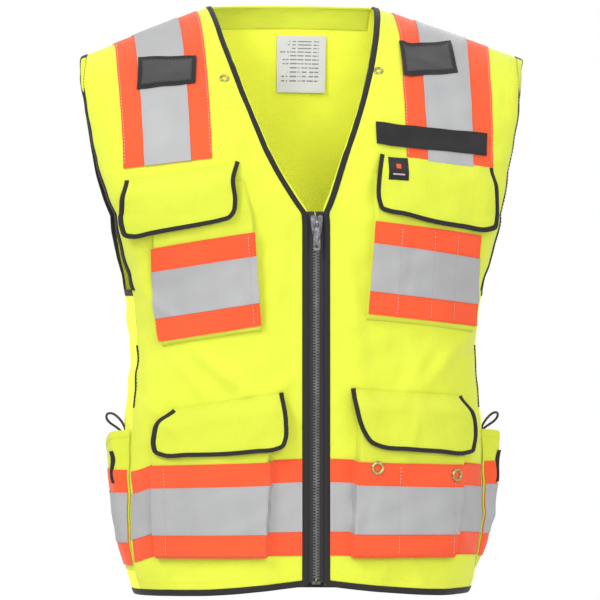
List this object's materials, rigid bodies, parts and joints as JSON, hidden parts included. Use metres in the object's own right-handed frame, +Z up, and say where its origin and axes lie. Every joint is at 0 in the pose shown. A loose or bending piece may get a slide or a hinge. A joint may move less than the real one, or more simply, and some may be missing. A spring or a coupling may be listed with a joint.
{
  "type": "high visibility vest",
  "caption": "Sleeveless V-neck work vest with zip front, flapped chest and lower pockets, side pockets and reflective tape over contrast tape.",
  "frame": {"origin": "midway between the high points of the two shoulders, at their height", "axes": "+Z up, front faces -Y, +X is the wearer's left"},
  "size_m": [0.4734, 0.2334, 0.6261],
  "materials": {
    "lime": "fluorescent yellow-green woven polyester",
    "mesh": "fluorescent yellow-green knitted mesh",
    "orange": "fluorescent orange woven tape",
    "silver": "glass-bead reflective tape",
    "black": "folded knitted binding",
    "charcoal": "brushed loop tape",
    "white": "satin woven label",
    "plastic": "moulded zip teeth",
    "metal": "die-cast slider",
    "brass": "pale brass eyelet"
  },
  "bodies": {
    "back": {"armhole_binding_left": "black", "armhole_binding_right": "black", "back_hem_binding": "black", "back_panel": "mesh", "mic_tab_left": "charcoal", "mic_tab_right": "charcoal", "name_strip": "charcoal", "neck_binding_left": "black", "neck_binding_right": "black", "neck_eyelet_left": "brass", "neck_eyelet_right": "brass", "neck_facing": "lime", "shoulder_silver_left": "silver", "shoulder_silver_right": "silver", "shoulder_tape_left": "orange", "shoulder_tape_right": "orange", "side_cord_left": "black", "side_cord_right": "black", "side_pocket_left": "lime", "side_pocket_right": "lime", "size_label": "white", "waist_silver_back": "silver", "waist_tape_back": "orange", "yoke_left": "lime", "yoke_right": "lime"},
    "front_left": {"front_panel_left": "lime", "front_binding_left": "black", "front_arm_binding_left": "black", "chest_pocket_left": "lime", "lower_pocket_left": "lime", "chest_tape_left": "orange", "chest_silver_left": "silver", "waist_tape_left": "orange", "waist_silver_left": "silver", "zip_tape_left": "black", "zip_teeth_left": "plastic", "pocket_eyelet_inner": "brass", "pocket_eyelet_outer": "brass"},
    "front_right": {"front_panel_right": "lime", "front_binding_right": "black", "front_arm_binding_right": "black", "chest_pocket_right": "lime", "lower_pocket_right": "lime", "chest_tape_right": "orange", "chest_silver_right": "silver", "waist_tape_right": "orange", "waist_silver_right": "silver", "zip_tape_right": "black", "zip_teeth_right": "plastic"},
    "chest_flap_left": {"chest_flap_left": "lime", "chest_flap_binding_left": "black", "woven_label": "black"},
    "lower_flap_left": {"lower_flap_left": "lime", "lower_flap_binding_left": "black"},
    "chest_flap_right": {"chest_flap_right": "lime", "chest_flap_binding_right": "black"},
    "lower_flap_right": {"lower_flap_right": "lime", "lower_flap_binding_right": "black"},
    "zip_slider": {"zip_slider": "metal"},
    "zip_pull": {"zip_pull": "metal"}
  },
  "joints": [
    {"name": "front_left_swing", "type": "hinge", "parent": "back", "child": "front_left", "pos_m": [0.1858, -0.0336, -0.422], "axis": [0, 0, 1], "range_deg": [0, 50]},
    {"name": "front_right_swing", "type": "hinge", "parent": "back", "child": "front_right", "pos_m": [-0.1858, -0.0336, -0.422], "axis": [0, 0, -1], "range_deg": [0, 50]},
    {"name": "chest_flap_left_lift", "type": "hinge", "parent": "front_left", "child": "chest_flap_left", "pos_m": [0.15648, -0.10486, -0.16974], "axis": [-0.9531, -0.2486, 0.1725], "range_deg": [0, 120]},
    {"name": "lower_flap_left_lift", "type": "hinge", "parent": "front_left", "child": "lower_flap_left", "pos_m": [0.1205, -0.10805, -0.404], "axis": [-0.9131, -0.4024, 0.0661], "range_deg": [0, 120]},
    {"name": "chest_flap_right_lift", "type": "hinge", "parent": "front_right", "child": "chest_flap_right", "pos_m": [-0.15648, -0.10486, -0.16974], "axis": [-0.9531, 0.2486, -0.1725], "range_deg": [0, 120]},
    {"name": "lower_flap_right_lift", "type": "hinge", "parent": "front_right", "child": "lower_flap_right", "pos_m": [-0.1205, -0.10805, -0.404], "axis": [-0.9131, 0.4024, -0.0661], "range_deg": [0, 120]},
    {"name": "zip_slide", "type": "slide", "parent": "front_left", "child": "zip_slider", "axis": [0, 0, -1], "range_m": [0, 0.358]},
    {"name": "pull_swing", "type": "hinge", "parent": "zip_slider", "child": "zip_pull", "pos_m": [0, -0.121, -0.233], "axis": [-1, 0, 0], "range_deg": [0, 120]}
  ]
}
